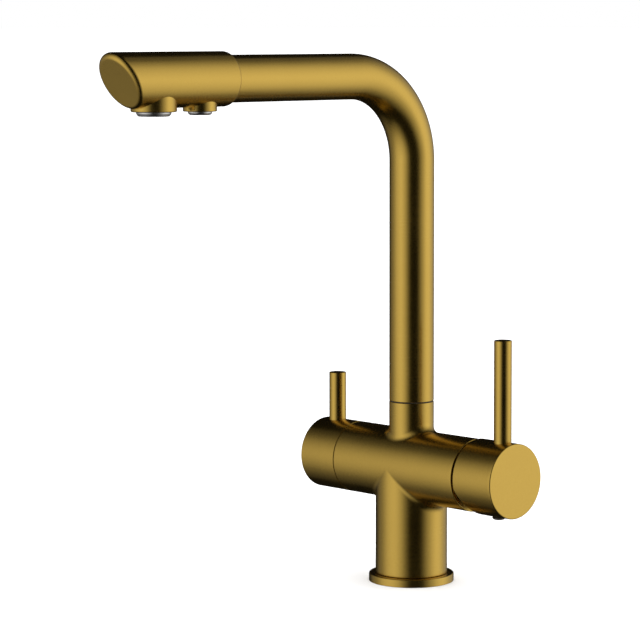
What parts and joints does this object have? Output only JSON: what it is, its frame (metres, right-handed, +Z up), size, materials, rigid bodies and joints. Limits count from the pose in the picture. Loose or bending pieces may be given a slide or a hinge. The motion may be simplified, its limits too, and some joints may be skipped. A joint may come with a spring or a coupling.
{
  "type": "three way filtered water tap",
  "caption": "Kitchen mixer tap with a swivelling spout, a tilting mixer handle, a quarter turn handle for filtered water and separate outlets.",
  "frame": {"origin": "middle of the underside of the base, on the worktop", "axes": "+Z up the riser, spout along -Y, mixer handle at +X, filtered water handle at -X"},
  "size_m": [0.1662, 0.2686, 0.3334],
  "materials": {
    "brushed_gold": "PVD brushed gold over brass, satin with a fine circular grain",
    "brushed_gold_cap": "the same finish on the oblique end cap",
    "raw_brass": "machined, uncoated",
    "steel": "plain stainless",
    "aerator_silver": "satin nickel",
    "ceramic": "lapped alumina",
    "white_plastic": "moulded",
    "aerator_mesh": "moulded, grey white",
    "dark_plastic": "moulded, satin",
    "rubber_black": "matt",
    "tube_plastic": "food grade tube"
  },
  "bodies": {
    "root": {"base_flange": "brushed_gold", "base_seal": "rubber_black", "valve_body": "brushed_gold", "neck_bearing_ring": "dark_plastic", "spout_set_screw": "steel", "cartridge_seal": "rubber_black", "cartridge_base": "white_plastic", "cartridge_housing": "white_plastic", "fixed_ceramic_disc": "ceramic", "cartridge_nut": "raw_brass", "cartridge_cover_ring": "dark_plastic", "filter_port_seal": "rubber_black", "filter_valve_body": "raw_brass", "filter_fixed_disc": "ceramic"},
    "mixer_collar": {"cartridge_carrier": "white_plastic", "cartridge_pin": "steel"},
    "disc_shuttle": {"moving_ceramic_disc": "ceramic", "disc_slider": "white_plastic"},
    "mixer_handle": {"mixer_knob": "brushed_gold", "mixer_lever": "brushed_gold", "cartridge_stem": "raw_brass", "mixer_set_screw": "steel", "mixer_index_plug": "dark_plastic"},
    "filter_handle": {"filter_knob": "brushed_gold", "filter_lever": "brushed_gold", "filter_spindle": "raw_brass", "filter_moving_disc": "ceramic", "filter_set_screw": "steel"},
    "spout": {"spout_tube": "brushed_gold", "spout_base_fitting": "raw_brass", "spout_o_ring_lower": "rubber_black", "spout_o_ring_upper": "rubber_black", "filter_water_tube": "tube_plastic", "filter_tube_ferrule": "raw_brass", "spout_head": "brushed_gold", "head_end_cap": "brushed_gold_cap", "filter_tube_elbow": "raw_brass", "mixed_aerator_shell": "aerator_silver", "mixed_aerator_insert": "aerator_mesh", "mixed_aerator_seal": "rubber_black", "filter_outlet_shell": "aerator_silver", "filter_outlet_insert": "aerator_mesh", "filter_outlet_seal": "rubber_black"}
  },
  "joints": [
    {"name": "spout_swivel", "type": "hinge", "parent": "root", "child": "spout", "pos_m": [0, 0, 0.1144], "axis": [0, 0, 1], "range_deg": [-180, 180]},
    {"name": "mixer_turn", "type": "hinge", "parent": "root", "child": "mixer_collar", "pos_m": [0.056, 0, 0.0729], "axis": [1, 0, 0], "range_deg": [-50, 50]},
    {"name": "mixer_lift", "type": "hinge", "parent": "mixer_collar", "child": "mixer_handle", "pos_m": [0.061, 0, 0.0729], "axis": [0, 1, 0], "range_deg": [0, 22]},
    {"name": "disc_slide", "type": "slide", "parent": "mixer_collar", "child": "disc_shuttle", "axis": [0, 0, 1], "range_m": [0, 0.0054]},
    {"name": "filter_turn", "type": "hinge", "parent": "root", "child": "filter_handle", "pos_m": [-0.0478, 0, 0.0729], "axis": [1, 0, 0], "range_deg": [0, 90]}
  ],
  "couplings": [
    {"joint": "disc_slide", "follows": "mixer_lift", "m_per_rad": 0.0137}
  ]
}
